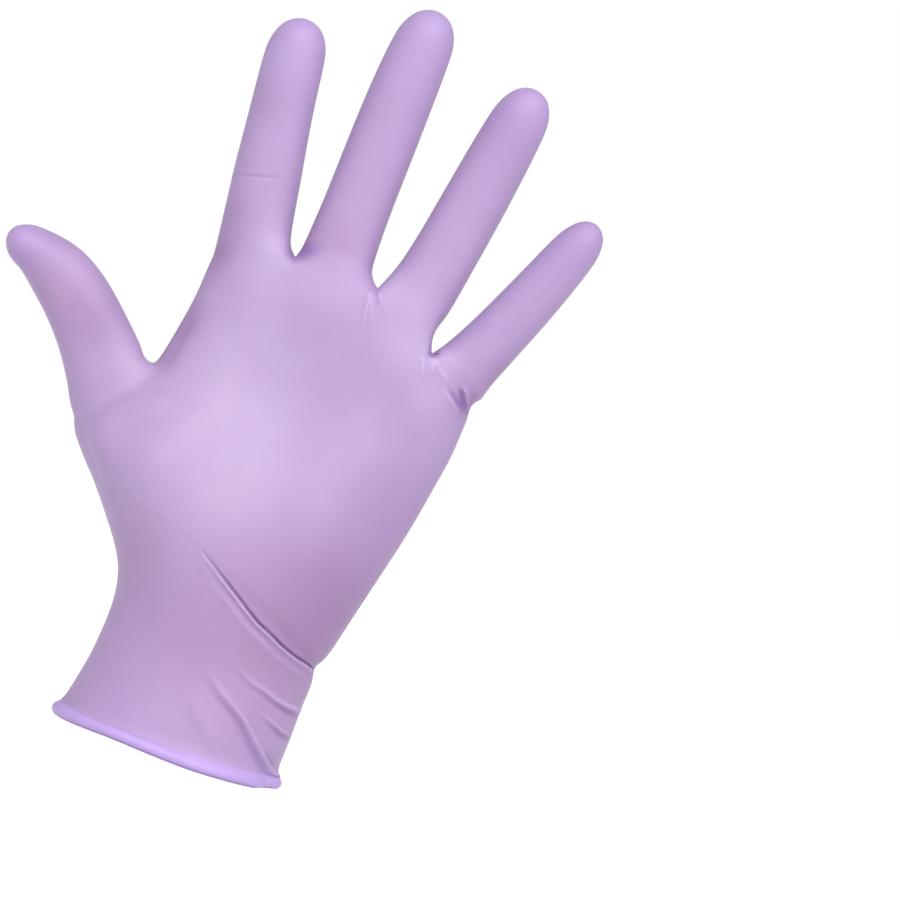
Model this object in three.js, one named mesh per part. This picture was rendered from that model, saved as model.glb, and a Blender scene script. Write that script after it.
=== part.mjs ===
// A disposable nitrile examination glove in its worn shape: a left one, spread, palm side to the front.
// It is one dipped film, hollow from the open cuff to all five fingertips, and its lower edge is rolled
// outwards into a bead. Millimetres. +Z runs from the cuff to the fingertips, +X to the little finger,
// and the palm side faces -Y. The origin is the centre of the cuff's opening, level with the bead.
import * as THREE from "three";

// The film. A real one is 0.1 mm thick. This wall is the thinnest that still works as a handled solid.
const FILM_WALL = 1.0;
const BEAD_DIAMETER = 4.2;

// The body, from the bead to the roots of the fingers. Widths run along X, depths along Y.
const BODY_LENGTH = 143;
const CUFF_WIDTH = 67.3;
const CUFF_DEPTH = 50;
const WRIST_WIDTH = 65.6;
const WRIST_DEPTH = 43;
const WRIST_HEIGHT = 32;
const PALM_WIDTH = 92;
const PALM_DEPTH = 28;
const PALM_HEIGHT = 112;

// The webs: how far one between two fingers drops from its crest to the palm side and to the back, and how
// far the thumb's drops to both.
const WEB_DROP_FRONT = 3.5;
const WEB_DROP_BACK = 7;
const THUMB_WEB_DROP = 5.5;

// How many facets: across the palm side of one digit, through the thickness of a side, and round the bead.
const FRONT_STEPS = 5;
const SIDE_STEPS = 4;
const BEAD_STEPS = 7;
const FINGERS = 4;

// Half the angle that the little-finger side takes of a ring. The thumb side has a column of its own.
const SIDE_ANGLE = 24;

// Rows of the body, from the bead up. Each runs from the thumb side (left) to the little-finger side (right),
// and slopes as the fold at the wrist does. "up" and "rise" are shares of BODY_LENGTH, "out" is a share of
// the width there, "front" and "back" are shares of the depth there, "open" is half the angle that the thumb
// side takes of the ring, in degrees, and "square" is 1 for an ellipse and less for a boxier ring.
const BODY_ROWS = [
  {
    row: 0, leftUp: 0.006, leftOut: 0.504, rightUp: 0.006, rightOut: 0.497,
    rise: 0, front: 0.5, back: 0.5, open: 24, square: 1,
  },
  {
    row: 5, leftUp: 0.14, leftOut: 0.457, rightUp: 0.077, rightOut: 0.51,
    rise: 0.01, front: 0.5, back: 0.5, open: 25, square: 1,
  },
  {
    row: 10, leftUp: 0.301, leftOut: 0.46, rightUp: 0.154, rightOut: 0.53,
    rise: 0.025, front: 0.5, back: 0.49, open: 27, square: 0.98,
  },
  {
    row: 14, leftUp: 0.423, leftOut: 0.571, rightUp: 0.206, rightOut: 0.552,
    rise: 0.038, front: 0.52, back: 0.5, open: 30, square: 0.95,
  },
  {
    row: 15, leftUp: 0.451, leftOut: 0.599, rightUp: 0.227, rightOut: 0.547,
    rise: 0.038, front: 0.53, back: 0.5, open: 31, square: 0.94,
  },
  {
    row: 16, leftUp: 0.476, leftOut: 0.624, rightUp: 0.246, rightOut: 0.531,
    rise: 0.038, front: 0.54, back: 0.5, open: 32, square: 0.93,
  },
  {
    row: 17, leftUp: 0.5, leftOut: 0.648, rightUp: 0.276, rightOut: 0.562,
    rise: 0.038, front: 0.56, back: 0.51, open: 33, square: 0.92,
  },
  {
    row: 19, leftUp: 0.577, leftOut: 0.698, rightUp: 0.378, rightOut: 0.567,
    rise: 0.042, front: 0.59, back: 0.53, open: 36, square: 0.9,
  },
  {
    row: 21.5, leftUp: 0.662, leftOut: 0.569, rightUp: 0.521, rightOut: 0.575,
    rise: 0.05, front: 0.57, back: 0.53, open: 38, square: 0.88,
  },
  {
    row: 24, leftUp: 0.704, leftOut: 0.452, rightUp: 0.664, rightOut: 0.565,
    rise: 0.06, front: 0.53, back: 0.51, open: 34, square: 0.86,
  },
  {
    row: 27, leftUp: 0.867, leftOut: 0.393, rightUp: 0.769, rightOut: 0.574,
    rise: 0.075, front: 0.5, back: 0.5, open: 28, square: 0.82,
  },
  {
    row: 30, leftUp: 0.99, leftOut: 0.376, rightUp: 0.871, rightOut: 0.587,
    rise: 0.085, front: 0.46, back: 0.46, open: 26, square: 0.8,
  },
];
const TOP_ROW = BODY_ROWS.at(-1).row;
const THUMB_ROW = 19;

// Webs between the fingers, from index-middle to ring-little: shares of PALM_WIDTH and of BODY_LENGTH.
const WEBS = [
  { out: -0.118, up: 1.046 },
  { out: 0.173, up: 1.039 },
  { out: 0.403, up: 0.948 },
];

// Mounds and hollows of the worn film. "out" is a share of PALM_WIDTH and "up" of BODY_LENGTH, the
// spreads are millimetres along and across a line turned by "turn" degrees, and "height" is millimetres out
// of the film, less than zero for a hollow.
const MOUNDS = [
  { side: "front", out: -0.36, up: 0.54, along: 26, across: 15, turn: -32, height: 5 },
  { side: "front", out: 0.3, up: 0.5, along: 34, across: 16, turn: 12, height: 4 },
  { side: "front", out: 0.02, up: 0.72, along: 24, across: 18, turn: 0, height: -3.5 },
  { side: "front", out: -0.24, up: 0.93, along: 9, across: 10, turn: 0, height: 1.6 },
  { side: "front", out: 0.03, up: 0.95, along: 9, across: 10, turn: 0, height: 1.6 },
  { side: "front", out: 0.29, up: 0.91, along: 9, across: 9, turn: 0, height: 1.6 },
  { side: "front", out: 0.48, up: 0.83, along: 9, across: 8, turn: 0, height: 1.6 },
  { side: "back", out: -0.26, up: 0.92, along: 9, across: 7, turn: 0, height: 2.2 },
  { side: "back", out: 0.02, up: 0.95, along: 9, across: 7, turn: 0, height: 2.4 },
  { side: "back", out: 0.26, up: 0.89, along: 9, across: 6, turn: 0, height: 2 },
  { side: "back", out: 0.46, up: 0.81, along: 8, across: 6, turn: 0, height: 1.8 },
];

// Folds pulled into the palm side of the film, as straight ridges that fade in from their first end. "out"
// and "up" are shares of PALM_WIDTH and BODY_LENGTH, "height" and "spread" are millimetres, and a height
// below zero is a crease. The first two are the ridge and the crease of the fold under the heel of the palm.
const FOLDS = [
  { out: -0.12, up: 0.4, toOut: 0.4, toUp: 0.233, height: 1.3, spread: 2.4 },
  { out: -0.1, up: 0.413, toOut: 0.4, toUp: 0.254, height: -1.3, spread: 1.8 },
  { out: 0.0, up: 0.225, toOut: 0.37, toUp: 0.0, height: 1.5, spread: 2.6 },
  { out: 0.1, up: 0.205, toOut: 0.38, toUp: 0.14, height: 1.1, spread: 2.2 },
  { out: 0.22, up: 0.125, toOut: 0.38, toUp: 0.085, height: 0.9, spread: 2 },
];

// The digits. A digit starts at "out" and "up", shares of PALM_WIDTH and of BODY_LENGTH. "lean" lists the way
// it points, in degrees from +Z towards +X, at its root, at a third, at two thirds and at its tip; "slant" is
// how far its root loop is turned from square; "fore" and "curl" are how far its root and its tip come to the
// palm side; "dome" is the length of the rounded tip. Each section's "along" is a share of the length, "half"
// of the width, and "front" and "back" of the depth.
const DIGITS = [
  {
    name: "thumb", out: -0.547, up: 0.657, length: 57.3, width: 22, depth: 20,
    lean: [-34, -41, -59, -92], slant: -18, fore: 1, curl: 8, dome: 7.5,
    sections: [
      { along: 0.13, half: 0.56, front: 0.58, back: 0.56 },
      { along: 0.26, half: 0.52, front: 0.54, back: 0.52 },
      { along: 0.4, half: 0.495, front: 0.52, back: 0.49 },
      { along: 0.54, half: 0.48, front: 0.51, back: 0.47 },
      { along: 0.66, half: 0.445, front: 0.5, back: 0.46 },
      { along: 0.77, half: 0.395, front: 0.48, back: 0.43 },
      { along: 0.87, half: 0.32, front: 0.42, back: 0.37 },
    ],
  },
  {
    name: "index", out: -0.257, up: 1.0, length: 75.2, width: 20, depth: 17.5,
    lean: [-7, -7, -6, -9], slant: -11, fore: 0, curl: 3, dome: 11.5,
    sections: [
      { along: 0.125, half: 0.54, front: 0.54, back: 0.54 },
      { along: 0.24, half: 0.523, front: 0.52, back: 0.51 },
      { along: 0.37, half: 0.513, front: 0.51, back: 0.5 },
      { along: 0.51, half: 0.49, front: 0.48, back: 0.48 },
      { along: 0.65, half: 0.472, front: 0.48, back: 0.45 },
      { along: 0.77, half: 0.47, front: 0.48, back: 0.43 },
      { along: 0.847, half: 0.465, front: 0.46, back: 0.41 },
    ],
  },
  {
    name: "middle", out: 0.009, up: 1.014, length: 87.9, width: 20.4, depth: 18,
    lean: [2.6, 2.4, 3, 0], slant: 0, fore: 0, curl: 3, dome: 12.2,
    sections: [
      { along: 0.105, half: 0.53, front: 0.54, back: 0.54 },
      { along: 0.2, half: 0.505, front: 0.52, back: 0.51 },
      { along: 0.34, half: 0.5, front: 0.51, back: 0.5 },
      { along: 0.48, half: 0.498, front: 0.49, back: 0.49 },
      { along: 0.62, half: 0.497, front: 0.49, back: 0.47 },
      { along: 0.76, half: 0.48, front: 0.48, back: 0.43 },
      { along: 0.861, half: 0.462, front: 0.46, back: 0.41 },
    ],
  },
  {
    name: "ring", out: 0.284, up: 1.0, length: 78.4, width: 19.6, depth: 17.3,
    lean: [13.8, 10.8, 9.6, 2], slant: 19, fore: 0, curl: 4, dome: 12,
    sections: [
      { along: 0.115, half: 0.53, front: 0.54, back: 0.54 },
      { along: 0.21, half: 0.505, front: 0.52, back: 0.51 },
      { along: 0.35, half: 0.503, front: 0.51, back: 0.5 },
      { along: 0.49, half: 0.495, front: 0.49, back: 0.48 },
      { along: 0.63, half: 0.488, front: 0.48, back: 0.46 },
      { along: 0.76, half: 0.47, front: 0.48, back: 0.42 },
      { along: 0.847, half: 0.455, front: 0.46, back: 0.4 },
    ],
  },
  {
    name: "little", out: 0.487, up: 0.896, length: 65.2, width: 17.2, depth: 15.2,
    lean: [27.8, 24.8, 22.4, 13], slant: 8, fore: 0, curl: 5, dome: 12,
    sections: [
      { along: 0.12, half: 0.54, front: 0.56, back: 0.56 },
      { along: 0.22, half: 0.512, front: 0.53, back: 0.52 },
      { along: 0.36, half: 0.495, front: 0.51, back: 0.5 },
      { along: 0.5, half: 0.48, front: 0.49, back: 0.48 },
      { along: 0.64, half: 0.46, front: 0.47, back: 0.44 },
      { along: 0.815, half: 0.43, front: 0.44, back: 0.39 },
    ],
  },
];
const SLANT_FADE = 0.4;
const ROOT_PASSES = 2;
const DOME_ANGLES = [28, 52, 72];

const LILAC = 0xc4a8dc;

const { clamp, degToRad, lerp, smoothstep } = THREE.MathUtils;
const COLUMNS = FINGERS * FRONT_STEPS;
const RING = 2 * (COLUMNS + SIDE_STEPS);
const BACK_START = COLUMNS + SIDE_STEPS;

// A smooth curve through one column of a table, as a cubic that leaves each row at its neighbours' slope.
function through(table, key, column, at) {
  const last = table.length - 1;
  let i = 0;
  while (i < last - 1 && at > table[i + 1][key]) i += 1;
  const slope = (k) => {
    const a = table[Math.max(k - 1, 0)];
    const b = table[Math.min(k + 1, last)];
    return (b[column] - a[column]) / (b[key] - a[key]);
  };
  const span = table[i + 1][key] - table[i][key];
  const t = clamp((at - table[i][key]) / span, 0, 1);
  return (
    table[i][column] * (2 * t ** 3 - 3 * t ** 2 + 1) +
    slope(i) * span * (t ** 3 - 2 * t ** 2 + t) +
    table[i + 1][column] * (3 * t ** 2 - 2 * t ** 3) +
    slope(i + 1) * span * (t ** 3 - t ** 2)
  );
}

// The body's width or depth at a height: cuff, then wrist, then palm.
function girth(cuff, wrist, palm, z) {
  return z < WRIST_HEIGHT
    ? lerp(cuff, wrist, smoothstep(z, 0, WRIST_HEIGHT))
    : lerp(wrist, palm, smoothstep(z, WRIST_HEIGHT, PALM_HEIGHT));
}
const widthAt = (z) => girth(CUFF_WIDTH, WRIST_WIDTH, PALM_WIDTH, z);
const depthAt = (z) => girth(CUFF_DEPTH, WRIST_DEPTH, PALM_DEPTH, z);

// Height of the mounds of one side over a point of the film: each is a bell, longer along its turned line.
function moundHeight(side, x, z) {
  return MOUNDS.filter((m) => m.side === side).reduce((sum, m) => {
    const turn = degToRad(m.turn);
    const dx = x - m.out * PALM_WIDTH;
    const dz = z - m.up * BODY_LENGTH;
    const along = (dz * Math.cos(turn) - dx * Math.sin(turn)) / m.along;
    const across = (dx * Math.cos(turn) + dz * Math.sin(turn)) / m.across;
    return sum + m.height * Math.exp(-(along ** 2 + across ** 2));
  }, 0);
}

// Height of the folds over a point of the film: a bell across each line, fading in along its first part.
function foldHeight(x, z) {
  return FOLDS.reduce((sum, f) => {
    const from = new THREE.Vector2(f.out * PALM_WIDTH, f.up * BODY_LENGTH);
    const line = new THREE.Vector2(f.toOut * PALM_WIDTH, f.toUp * BODY_LENGTH).sub(from);
    const offset = new THREE.Vector2(x, z).sub(from);
    const share = offset.dot(line) / line.lengthSq();
    const across = offset.cross(line) / line.length() / f.spread;
    return sum + f.height * smoothstep(share, 0, 0.5) * Math.exp(-(across ** 2));
  }, 0);
}

// One row's own numbers, in millimetres and radians.
function bodyRow(row) {
  const value = (column) => through(BODY_ROWS, "row", column, row);
  const leftZ = value("leftUp") * BODY_LENGTH;
  const rightZ = value("rightUp") * BODY_LENGTH;
  return {
    leftZ,
    rightZ,
    left: -value("leftOut") * widthAt(leftZ),
    right: value("rightOut") * widthAt(rightZ),
    rise: value("rise") * BODY_LENGTH,
    front: value("front"),
    back: value("back"),
    open: degToRad(value("open")),
    square: value("square"),
  };
}

// A point of the body: angle 0 is the thumb side, a quarter turn the palm side, a half turn the other side.
function bodyPoint(r, angle) {
  const boxy = (v) => Math.sign(v) * Math.abs(v) ** r.square;
  const share = (1 - boxy(Math.cos(angle))) / 2;
  const x = lerp(r.left, r.right, share);
  const z = lerp(r.leftZ, r.rightZ, share) + r.rise * 4 * share * (1 - share);
  if (Math.sin(angle) > 0) {
    const depth = r.front * depthAt(z) + moundHeight("front", x, z) + foldHeight(x, z);
    return new THREE.Vector3(x, -depth * boxy(Math.sin(angle)), z);
  }
  const depth = r.back * depthAt(z) + moundHeight("back", x, z);
  return new THREE.Vector3(x, -depth * boxy(Math.sin(angle)), z);
}

// The angles of the top row's columns across the palm side: one stands at a web after every FRONT_STEPS.
function topRowAngles(top) {
  const stops = [top.open];
  WEBS.forEach((web) => {
    const cosine = 1 - (2 * (web.out * PALM_WIDTH - top.left)) / (top.right - top.left);
    stops.push(Math.acos(Math.sign(cosine) * Math.abs(cosine) ** (1 / top.square)));
  });
  stops.push(Math.PI - degToRad(SIDE_ANGLE));
  const angles = [];
  for (let k = 0; k <= COLUMNS; k += 1) {
    const digit = Math.min(Math.floor(k / FRONT_STEPS), FINGERS - 1);
    angles.push(lerp(stops[digit], stops[digit + 1], k / FRONT_STEPS - digit));
  }
  return angles;
}

// The angles of a ring's points, from the thumb side through the palm side and on round the back. At the cuff
// the palm side is divided evenly, and up the body its columns draw near to the top row's.
function ringAngles(open, share, topAngles) {
  const end = degToRad(SIDE_ANGLE);
  const front = topAngles.map((top, k) => lerp(lerp(open, Math.PI - end, k / COLUMNS), top, share));
  const angles = front.slice();
  for (let k = 1; k < SIDE_STEPS; k += 1) angles.push(lerp(Math.PI - end, Math.PI + end, k / SIDE_STEPS));
  front.toReversed().forEach((angle) => angles.push(2 * Math.PI - angle));
  for (let k = 1; k < SIDE_STEPS; k += 1) angles.push(lerp(-front[0], front[0], k / SIDE_STEPS));
  return angles;
}

// How far each column of the top row is lifted or lowered, so that it drops the asked amount under the webs.
function topShift(top, angles, drop) {
  const plain = (i) => bodyPoint(top, angles[(i + 1) * FRONT_STEPS]).z;
  const ends = [0, ...WEBS.map((web, i) => web.up * BODY_LENGTH - drop - plain(i)), 0];
  return angles.map((_, k) => {
    const digit = Math.min(Math.floor(k / FRONT_STEPS), FINGERS - 1);
    return lerp(ends[digit], ends[digit + 1], smoothstep(k / FRONT_STEPS - digit, 0, 1));
  });
}

// The film's outer skin as points and four-sided faces, with its open edge at row 0.
function outerSkin() {
  const points = [];
  const faces = [];
  const add = (p) => points.push(p) - 1;
  const top = bodyRow(TOP_ROW);
  const topAngles = topRowAngles(top);
  const shiftFront = topShift(top, topAngles, WEB_DROP_FRONT);
  const shiftBack = topShift(top, topAngles.map((angle) => 2 * Math.PI - angle), WEB_DROP_BACK);
  const thumbTop = THUMB_ROW + FRONT_STEPS;
  const isLeft = (k) => k > BACK_START + COLUMNS;

  // Rings of the body. The thumb leaves through the thumb side, which has no points between its rows.
  const rings = [];
  for (let row = 0; row <= TOP_ROW; row += 1) {
    const r = bodyRow(row);
    const near = smoothstep(row, thumbTop - 1, TOP_ROW);
    const ring = ringAngles(r.open, row / TOP_ROW, topAngles).map((angle, k) => {
      if (isLeft(k) && row > THUMB_ROW && row < thumbTop) return null;
      const p = bodyPoint(r, angle);
      if (isLeft(k) && row === thumbTop) p.z += THUMB_WEB_DROP * Math.cos((Math.PI * angle) / (2 * r.open));
      if (k <= COLUMNS) p.z += near * shiftFront[k];
      else if (k >= BACK_START && !isLeft(k)) p.z += near * shiftBack[COLUMNS - (k - BACK_START)];
      return add(p);
    });
    rings.push(ring);
  }
  for (let row = 0; row < TOP_ROW; row += 1) {
    for (let k = 0; k < RING; k += 1) {
      const next = (k + 1) % RING;
      const thumb = (isLeft(k) || isLeft(next)) && row >= THUMB_ROW && row < thumbTop;
      if (!thumb) faces.push([rings[row][k], rings[row][next], rings[row + 1][next], rings[row + 1][k]]);
    }
  }

  // Webs: an arch over each crest, from the palm side's column to the back's.
  const topRing = rings[TOP_ROW];
  const backOf = (column) => topRing[BACK_START + COLUMNS - column];
  const arches = WEBS.map((web, i) => {
    const front = points[topRing[(i + 1) * FRONT_STEPS]];
    const back = points[backOf((i + 1) * FRONT_STEPS)];
    const arch = [];
    for (let k = 1; k < SIDE_STEPS; k += 1) {
      const turn = (Math.PI * k) / SIDE_STEPS;
      const p = front.clone().lerp(back, (1 - Math.cos(turn)) / 2);
      arch.push(add(p.setZ(lerp(p.z, web.up * BODY_LENGTH, Math.sin(turn)))));
    }
    return arch;
  });

  // The loop that each digit starts from: palm side, then the side towards +X, back and the other side.
  const leftOf = (ring) => ring.slice(BACK_START + COLUMNS + 1);
  const thumbRows = rings.slice(THUMB_ROW, thumbTop + 1);
  const roots = [
    [
      ...thumbRows.map((ring) => ring[0]),
      ...leftOf(rings[thumbTop]).reverse(),
      ...thumbRows.map((ring) => ring[BACK_START + COLUMNS]).reverse(),
      ...leftOf(rings[THUMB_ROW]),
    ],
  ];
  for (let f = 0; f < FINGERS; f += 1) {
    const right = f < FINGERS - 1 ? arches[f] : topRing.slice(COLUMNS + 1, BACK_START);
    const left = f > 0 ? arches[f - 1].toReversed() : leftOf(topRing);
    const front = topRing.slice(f * FRONT_STEPS, (f + 1) * FRONT_STEPS + 1);
    const back = front.map((_, k) => backOf((f + 1) * FRONT_STEPS - k));
    roots.push([...front, ...right, ...back, ...left]);
  }
  DIGITS.forEach((digit, i) => addDigit(digit, roots[i], faces, add));
  relax(points, faces, new Set(roots.flat()));
  return { points, faces, edge: rings[0] };
}

// Evens out the chosen points as a taut film does: each pass draws them half way to their neighbours' mean.
function relax(points, faces, chosen) {
  const neighbours = new Map([...chosen].map((i) => [i, new Set()]));
  faces.forEach((face) => {
    face.forEach((i, k) => {
      const next = face[(k + 1) % face.length];
      neighbours.get(i)?.add(next);
      neighbours.get(next)?.add(i);
    });
  });
  for (let pass = 0; pass < ROOT_PASSES; pass += 1) {
    const moved = [...neighbours].map(([i, around]) => {
      const mean = [...around].reduce((sum, k) => sum.add(points[k]), new THREE.Vector3());
      return [i, points[i].clone().lerp(mean.divideScalar(around.size), 0.5)];
    });
    moved.forEach(([i, p]) => points[i].copy(p));
  }
}

// A digit's stations: its sections, and then the rings of its domed tip, which shrink as a quarter ellipse.
function stationsOf(digit) {
  const last = digit.sections.at(-1);
  const dome = DOME_ANGLES.map(degToRad).map((angle) => ({
    along: 1 - (digit.dome / digit.length) * (1 - Math.sin(angle)),
    half: last.half * Math.cos(angle),
    front: last.front * Math.cos(angle),
    back: last.back * Math.cos(angle),
  }));
  return [...digit.sections, ...dome];
}

// Grows one digit from its root loop: rings on a curved path, then the point of its tip.
function addDigit(digit, root, faces, add) {
  const leans = digit.lean.map((lean, i) => ({ at: i / (digit.lean.length - 1), lean: degToRad(lean) }));
  const leanAt = (share) => through(leans, "at", "lean", share);
  const centreAt = (share) => {
    const steps = 60;
    const step = (share * digit.length) / steps;
    const p = new THREE.Vector3(digit.out * PALM_WIDTH, 0, digit.up * BODY_LENGTH);
    for (let k = 0; k < steps; k += 1) {
      const lean = leanAt((share * (k + 0.5)) / steps);
      p.x += step * Math.sin(lean);
      p.z += step * Math.cos(lean);
    }
    return p.setY(-digit.fore - digit.curl * share ** 2);
  };

  const size = root.length;
  let ring = root;
  stationsOf(digit).forEach((s) => {
    const slant = degToRad(digit.slant) * (1 - smoothstep(s.along, 0, SLANT_FADE));
    const turn = leanAt(s.along) + slant;
    const centre = centreAt(s.along);
    const half = (s.half * digit.width) / Math.cos(slant);
    const next = root.map((_, k) => {
      const angle = (2 * Math.PI * (k - FRONT_STEPS / 2)) / size - Math.PI / 2;
      const across = half * Math.cos(angle);
      const depth = digit.depth * (Math.sin(angle) < 0 ? s.front : s.back) * Math.sin(angle);
      const offset = new THREE.Vector3(across * Math.cos(turn), depth, -across * Math.sin(turn));
      return add(centre.clone().add(offset));
    });
    next.forEach((_, k) => faces.push([ring[k], ring[(k + 1) % size], next[(k + 1) % size], next[k]]));
    ring = next;
  });
  const tip = add(centreAt(1));
  ring.forEach((_, k) => faces.push([ring[k], ring[(k + 1) % size], tip]));
}

// The unit normal at each point, as the sum of its faces' normals.
function pointNormals(points, faces) {
  const normals = points.map(() => new THREE.Vector3());
  faces.forEach((face) => {
    const [a, b, c, d] = face.map((i) => points[i]);
    const facing = c.clone().sub(a).cross((d ?? a).clone().sub(b));
    face.forEach((i) => normals[i].add(facing));
  });
  return normals.map((normal) => normal.normalize());
}

// The whole film: outer skin, bead rolled outwards at its edge, and inner skin one wall inside.
function film() {
  const { points, faces, edge } = outerSkin();
  const normals = pointNormals(points, faces);
  const count = points.length;
  const all = [...points, ...points.map((p, i) => p.clone().addScaledVector(normals[i], -FILM_WALL))];
  const shell = [...faces, ...faces.map((face) => face.map((i) => i + count).reverse())];

  const radius = BEAD_DIAMETER / 2;
  const centreOut = radius - FILM_WALL;
  const meeting = Math.acos(-centreOut / radius);
  let ring = edge;
  const join = (next) => {
    const size = ring.length;
    ring.forEach((_, k) => shell.push([next[k], next[(k + 1) % size], ring[(k + 1) % size], ring[k]]));
    ring = next;
  };
  for (let step = 1; step <= BEAD_STEPS; step += 1) {
    const angle = lerp(meeting, -Math.PI, step / BEAD_STEPS);
    const next = edge.map((i) => {
      const outwards = normals[i].clone().setZ(0).normalize();
      const p = points[i].clone().addScaledVector(outwards, centreOut + radius * Math.cos(angle));
      p.z += radius * (Math.sin(angle) - Math.sin(meeting));
      return all.push(p) - 1;
    });
    join(next);
  }
  join(edge.map((i) => i + count));
  return { points: all, faces: shell };
}

// Cuts each four-sided face along its shorter diagonal.
function geometryOf({ points, faces }) {
  const index = [];
  faces.forEach(([a, b, c, d]) => {
    if (d === undefined) index.push(a, b, c);
    else if (points[a].distanceTo(points[c]) <= points[b].distanceTo(points[d])) index.push(a, b, c, a, c, d);
    else index.push(a, b, d, b, c, d);
  });
  const geometry = new THREE.BufferGeometry().setFromPoints(points);
  geometry.setIndex(index);
  geometry.computeVertexNormals();
  return geometry;
}

const nitrile = new THREE.MeshStandardMaterial({ color: LILAC, roughness: 0.5, metalness: 0 });
const glove = new THREE.Mesh(geometryOf(film()), nitrile);
glove.name = "glove";

const part = new THREE.Group();
part.add(glove);
export default part;
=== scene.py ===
"""A disposable nitrile examination glove in its worn form, a left one, spread, with a studio round it.

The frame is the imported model's own: metres, +Z from the cuff to the fingertips, +X to the little finger, and
the palm side faces -Y. The film is one piece, and it is worked out in three steps: a coarse cage of rings,
its Catmull-Clark skin, and the folds and creases that are laid over that skin.
"""

import bpy
import numpy as np
from bpy.props import FloatProperty, FloatVectorProperty, PointerProperty
from bpy.types import Operator, Panel, PropertyGroup
from mathutils import Matrix, Vector


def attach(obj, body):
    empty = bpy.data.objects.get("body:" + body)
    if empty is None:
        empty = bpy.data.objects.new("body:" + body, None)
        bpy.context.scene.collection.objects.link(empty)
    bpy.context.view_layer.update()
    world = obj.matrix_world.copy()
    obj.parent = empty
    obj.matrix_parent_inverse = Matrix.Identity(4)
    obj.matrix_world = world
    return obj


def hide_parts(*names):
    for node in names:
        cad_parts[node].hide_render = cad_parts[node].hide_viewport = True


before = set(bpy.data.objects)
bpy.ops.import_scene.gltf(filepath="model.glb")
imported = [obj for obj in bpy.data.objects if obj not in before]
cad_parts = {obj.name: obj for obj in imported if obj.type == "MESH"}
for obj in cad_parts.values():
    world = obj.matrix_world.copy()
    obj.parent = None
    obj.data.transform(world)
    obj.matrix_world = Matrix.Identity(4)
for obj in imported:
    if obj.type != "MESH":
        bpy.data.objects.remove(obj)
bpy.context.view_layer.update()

bl_info = {
    "name": "Nitrile Examination Glove",
    "version": (1, 0, 0),
    "blender": (4, 5, 0),
    "location": "3D Viewport > Sidebar > Glove",
    "description": "Builds a nitrile examination glove in its worn form, with its folds and its beaded cuff",
    "category": "Add Mesh",
}

MM = 0.001

# Faces of the cage: across the palm side of one digit, and through the thickness of a side.
FRONT = 7
SIDE = 5
FINGERS = 4
COLUMNS = FINGERS * FRONT
RING = 2 * (COLUMNS + SIDE)
BACK_START = COLUMNS + SIDE

# Rows of the body, from the bead up. Each runs from the thumb side (left) to the little-finger side (right).
# Heights are shares of the body's length, widths and depths shares of its width and depth there. "open" is
# half the angle that the thumb side takes of the ring, in degrees, and "square" is less than 1 for a boxy
# ring.
BODY_COLUMNS = (
    "row", "left_up", "left_out", "right_up", "right_out", "rise", "front", "back", "open", "square",
)
BODY_ROWS = np.array([
    (0, 0.006, 0.504, 0.006, 0.505, 0, 0.5, 0.5, 24, 1),
    (5, 0.14, 0.457, 0.077, 0.519, 0.01, 0.5, 0.5, 25, 1),
    (10, 0.301, 0.46, 0.154, 0.53, 0.025, 0.5, 0.49, 27, 0.98),
    (14, 0.423, 0.571, 0.206, 0.54, 0.038, 0.52, 0.5, 30, 0.95),
    (15, 0.451, 0.599, 0.227, 0.535, 0.038, 0.53, 0.5, 31, 0.94),
    (16, 0.476, 0.624, 0.246, 0.532, 0.038, 0.54, 0.5, 32, 0.93),
    (17, 0.5, 0.652, 0.276, 0.565, 0.038, 0.56, 0.51, 33, 0.92),
    (19, 0.577, 0.703, 0.378, 0.583, 0.042, 0.59, 0.53, 36, 0.9),
    (21.5, 0.662, 0.569, 0.521, 0.579, 0.05, 0.57, 0.53, 38, 0.88),
    (24, 0.7, 0.463, 0.664, 0.569, 0.06, 0.53, 0.51, 34, 0.86),
    (27, 0.867, 0.396, 0.769, 0.577, 0.075, 0.5, 0.5, 28, 0.82),
    (30, 0.99, 0.378, 0.871, 0.587, 0.085, 0.46, 0.46, 26, 0.8),
])
TOP_ROW = 30
THUMB_BOTTOM, THUMB_TOP = 19, 24

# Half the angle that the little-finger side takes of the ring.
SIDE_ANGLE = np.radians(24)

# The cage's own rows lie closest where the wrist's fold crosses the film. THUMB_AT is the first of them that
# meets the thumb.
CAGE_ROWS = np.concatenate([
    np.linspace(0, 13.4, 21, endpoint=False),
    np.linspace(13.4, 16.6, 14, endpoint=False),
    np.linspace(16.6, THUMB_BOTTOM, 4, endpoint=False),
    np.linspace(THUMB_BOTTOM, THUMB_TOP, FRONT, endpoint=False),
    np.linspace(THUMB_TOP, 28, 5, endpoint=False),
    np.linspace(28, TOP_ROW, 6),
])
THUMB_AT = int(np.searchsorted(CAGE_ROWS, THUMB_BOTTOM))

# Webs between the fingers: shares of the palm's width and of the body's length.
WEBS = np.array([(-0.118, 1.046), (0.168, 1.04), (0.403, 0.948)])

# Mounds of the palm side and of the back: place as shares, spreads along and across in millimetres, turn in
# degrees, height in millimetres.
PALM_MOUNDS = np.array([
    (-0.36, 0.54, 26, 15, -32, 5),
    (0.3, 0.5, 34, 16, 12, 4),
    (0.02, 0.72, 24, 18, 0, -3.5),
    (-0.24, 0.93, 9, 10, 0, 1.6),
    (0.03, 0.95, 9, 10, 0, 1.6),
    (0.29, 0.91, 9, 9, 0, 1.6),
    (0.48, 0.83, 9, 8, 0, 1.6),
])
BACK_MOUNDS = np.array([
    (-0.26, 0.92, 9, 7, 0, 2.2),
    (0.02, 0.95, 9, 7, 0, 2.4),
    (0.26, 0.89, 9, 6, 0, 2),
    (0.46, 0.81, 8, 6, 0, 1.8),
])

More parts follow.
